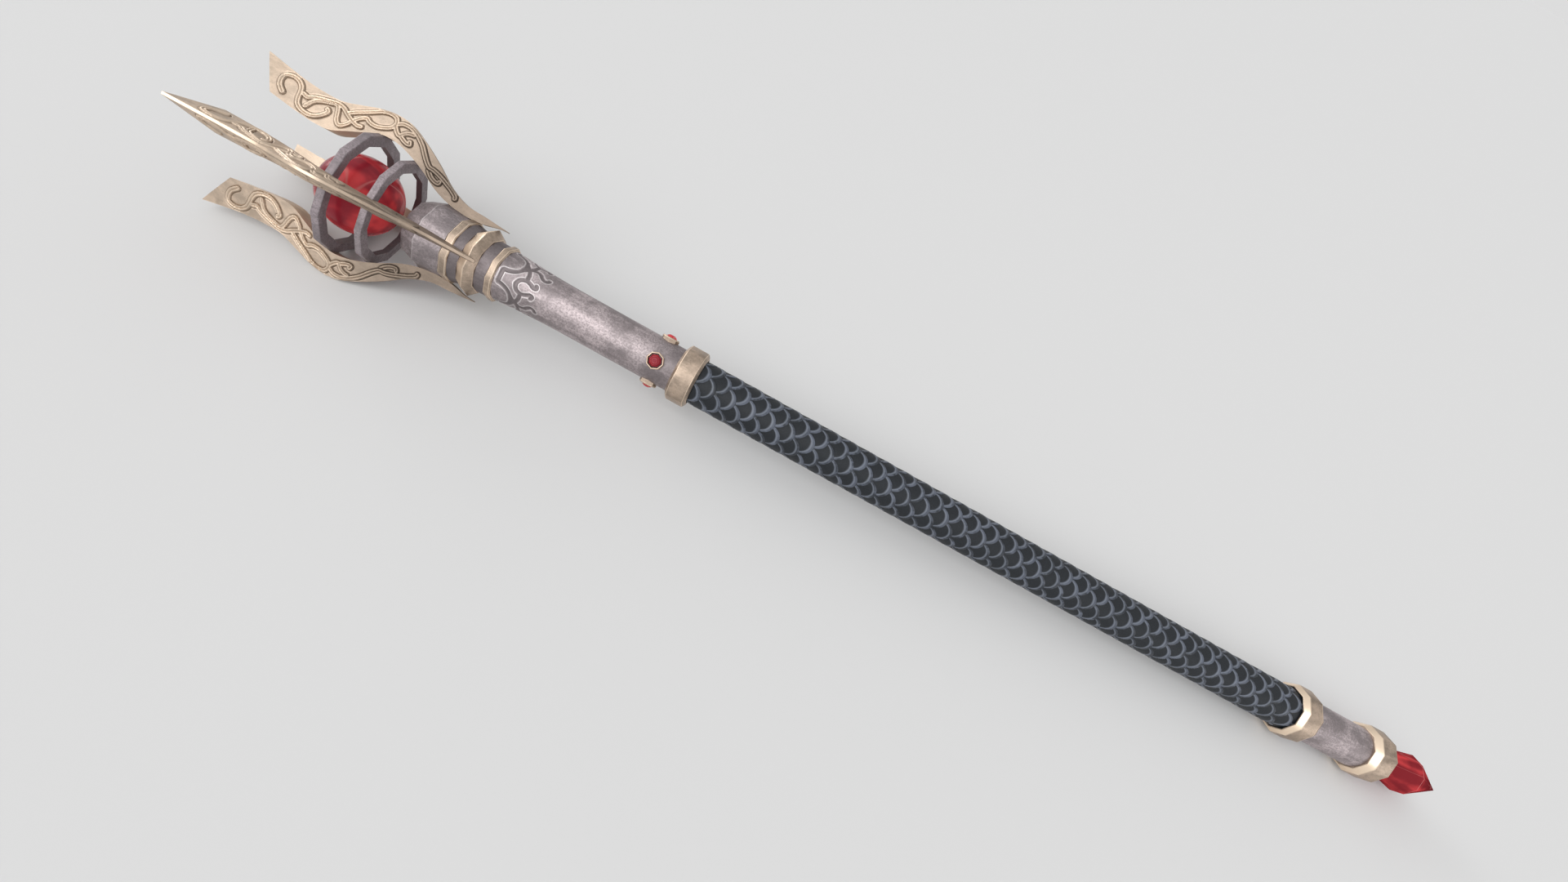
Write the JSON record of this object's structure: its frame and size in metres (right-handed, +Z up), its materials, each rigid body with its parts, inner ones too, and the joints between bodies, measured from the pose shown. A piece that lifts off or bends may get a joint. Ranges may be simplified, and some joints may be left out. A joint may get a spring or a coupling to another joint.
{
  "type": "sceptre",
  "caption": "Ceremonial staff with fin blades round a glass orb and tilted hoops, brass rings, scaled leather grip and a pointed crystal pommel.",
  "frame": {"origin": "on the floor under the middle of the lying sceptre's box", "axes": "+Z up; the staff lies along X, its head toward -X and its pommel toward +X, on two blades and the pommel collar"},
  "size_m": [0.944, 0.0806, 0.0806],
  "materials": {
    "brass": "pale worn brass, darker in the recesses",
    "steel": "brushed, mottled, purplish grey",
    "dark_steel": "dark, dull",
    "leather": "near-black scales with lighter edges",
    "red_glass": "polished deep red"
  },
  "bodies": {
    "root": {"socket": "steel", "socket_ring": "brass", "bell_collar": "brass", "neck_ring": "brass", "sleeve": "steel", "orb": "red_glass", "large_hoop": "dark_steel", "small_hoop": "dark_steel", "blade_1": "brass", "blade_2": "brass", "blade_3": "brass", "blade_4": "brass", "stud_bezel_1": "brass", "stud_bezel_2": "brass", "stud_bezel_3": "brass", "stud_bezel_4": "brass", "stud_stone_1": "red_glass", "stud_stone_2": "red_glass", "stud_stone_3": "red_glass", "stud_stone_4": "red_glass", "upper_grip_collar": "brass", "grip": "leather", "lower_grip_collar": "brass", "ferrule": "steel", "pommel_collar": "brass", "pommel_crystal": "red_glass"}
  },
  "joints": []
}
